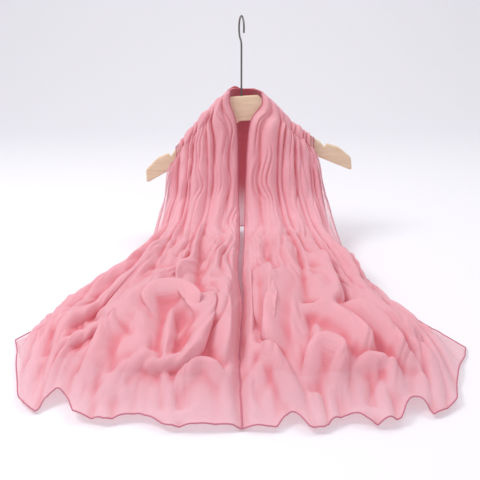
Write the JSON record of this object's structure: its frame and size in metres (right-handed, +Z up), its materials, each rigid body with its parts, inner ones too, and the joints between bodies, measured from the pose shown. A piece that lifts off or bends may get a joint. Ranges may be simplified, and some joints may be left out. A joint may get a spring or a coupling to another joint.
{
  "type": "chiffon scarf on a hanger",
  "caption": "Sheer oblong chiffon scarf hung over a flat wooden hanger with a wire hook, its ends fanned out in front in soft folds.",
  "frame": {"origin": "the point inside the top of the wire hook that bears on a rail", "axes": "+Z up, +X to the right seen from the front, the scarf falls towards -Y"},
  "size_m": [0.621, 0.7027, 0.4303],
  "materials": {
    "chiffon": "sheer pink crepe chiffon, soft and matt, with a narrow rolled hem",
    "beech": "pale beech, sanded, clear satin lacquer",
    "hook_steel": "dark drawn steel wire"
  },
  "bodies": {
    "root": {"hanger_wood": "beech", "hanger_hook": "hook_steel", "back_stretch": "chiffon", "left_fall": "chiffon", "left_veil": "chiffon", "left_spread": "chiffon", "left_under_layers": "chiffon", "right_fall": "chiffon", "right_veil": "chiffon", "right_spread": "chiffon", "right_under_layers": "chiffon"}
  },
  "joints": []
}
